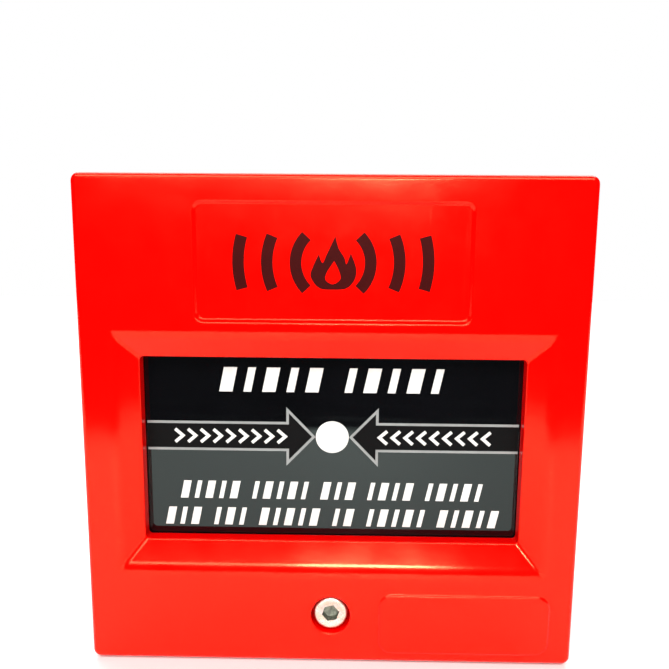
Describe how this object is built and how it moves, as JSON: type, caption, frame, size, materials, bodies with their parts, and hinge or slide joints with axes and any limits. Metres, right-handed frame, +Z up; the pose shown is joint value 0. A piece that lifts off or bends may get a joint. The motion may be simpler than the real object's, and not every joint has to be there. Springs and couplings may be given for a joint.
{
  "type": "manual call point",
  "caption": "Red square wall-mounted manual call point with a hinged cover, a press-in glass pane that works a microswitch, and a captive socket screw.",
  "frame": {"origin": "centre of the flat back face, on the wall plane", "axes": "+X to the right seen from the front, +Y into the wall, +Z up; the front face looks along -Y"},
  "size_m": [0.094, 0.0443, 0.094],
  "materials": {
    "red_plastic": "glossy red moulded plastic, lightly scuffed",
    "glass": "dark tinted clear pane, glossy, with a white printed legend",
    "steel": "zinc plated, satin",
    "spring_steel": "bright wire",
    "brass": "turned, slightly dull",
    "black_plastic": "fine moulded grain",
    "white_plastic": "fine moulded grain",
    "green_plastic": "satin moulded",
    "board": "solder mask over glass fibre board",
    "rubber": "dull",
    "resistor": "lacquered, with colour bands",
    "lead_red": "wire insulation",
    "lead_black": "wire insulation",
    "switch_case": "satin moulded",
    "switch_button": "satin moulded"
  },
  "bodies": {
    "back_box": {"rear_housing": "red_plastic", "cable_grommet": "rubber", "screw_insert": "brass", "chassis_plate": "white_plastic", "chassis_screw_lower_left": "steel", "chassis_screw_lower_right": "steel", "chassis_screw_upper_left": "steel", "chassis_screw_upper_right": "steel", "circuit_board": "board", "board_screw_lower_left": "steel", "board_screw_lower_right": "steel", "board_screw_upper_left": "steel", "board_screw_upper_right": "steel", "terminal_block": "green_plastic", "terminal_screw_1": "steel", "terminal_screw_2": "steel", "terminal_screw_3": "steel", "terminal_screw_4": "steel", "alarm_resistor": "resistor", "end_of_line_resistor": "resistor", "switch_case": "switch_case", "switch_lever_pin": "steel", "switch_tab_common": "brass", "switch_tab_normally_open": "brass", "switch_tab_normally_closed": "brass", "switch_screw_left": "steel", "switch_screw_right": "steel", "switch_nut_left": "steel", "switch_nut_right": "steel", "switch_lead_common": "lead_black", "switch_lead_closed": "lead_red", "plunger_bridge": "black_plastic", "bridge_screw_left": "steel", "bridge_screw_right": "steel", "plunger_spring": "spring_steel"},
    "cover": {"front_cover": "red_plastic", "hinge_pin_left": "steel", "hinge_pin_right": "steel", "glass_retainer": "black_plastic", "retainer_screw_lower_left": "steel", "retainer_screw_lower_right": "steel", "retainer_screw_upper_left": "steel", "retainer_screw_upper_right": "steel", "glass_spring_lower_left": "spring_steel", "glass_spring_lower_right": "spring_steel", "glass_spring_upper_left": "spring_steel", "glass_spring_upper_right": "spring_steel"},
    "screw_clip": {"screw_clip": "spring_steel"},
    "cover_screw": {"cover_screw": "steel"},
    "glass": {"glass_pane": "glass", "glass_carrier": "black_plastic"},
    "plunger": {"plunger": "white_plastic"},
    "lever": {"switch_lever": "steel"},
    "button": {"switch_button": "switch_button"}
  },
  "joints": [
    {"name": "cover_hinge", "type": "hinge", "parent": "back_box", "child": "cover", "pos_m": [0, -0.022, 0.045], "axis": [-1, 0, 0], "range_deg": [0, 90]},
    {"name": "screw_travel", "type": "slide", "parent": "cover", "child": "screw_clip", "axis": [0, -1, 0], "range_m": [0, 0.0042]},
    {"name": "screw_turn", "type": "hinge", "parent": "screw_clip", "child": "cover_screw", "pos_m": [0, -0.0432, -0.0373], "axis": [0, -1, 0], "range_deg": [0, 2161]},
    {"name": "glass_press", "type": "slide", "parent": "cover", "child": "glass", "axis": [0, 1, 0], "range_m": [0, 0.002], "stiffness_N_per_m": 500, "springref_m": -0.002, "deforming": ["glass_spring_lower_left", "glass_spring_lower_right", "glass_spring_upper_left", "glass_spring_upper_right"]},
    {"name": "plunger_slide", "type": "slide", "parent": "back_box", "child": "plunger", "axis": [0, 1, 0], "range_m": [0, 0.00201], "deforming": ["plunger_spring"]},
    {"name": "lever_hinge", "type": "hinge", "parent": "back_box", "child": "lever", "pos_m": [-0.0135, -0.0252, -0.0048], "axis": [0, 0, 1], "range_deg": [0, 8.53]},
    {"name": "button_slide", "type": "slide", "parent": "back_box", "child": "button", "axis": [0, 1, 0], "range_m": [0, 0.00104]}
  ],
  "couplings": [
    {"joint": "screw_turn", "follows": "screw_travel", "rad_per_m": 8976},
    {"joint": "plunger_slide", "follows": "glass_press", "ratio": 1},
    {"joint": "lever_hinge", "follows": "glass_press", "rad_per_m": 74.348},
    {"joint": "button_slide", "follows": "glass_press", "ratio": 0.51852}
  ]
}
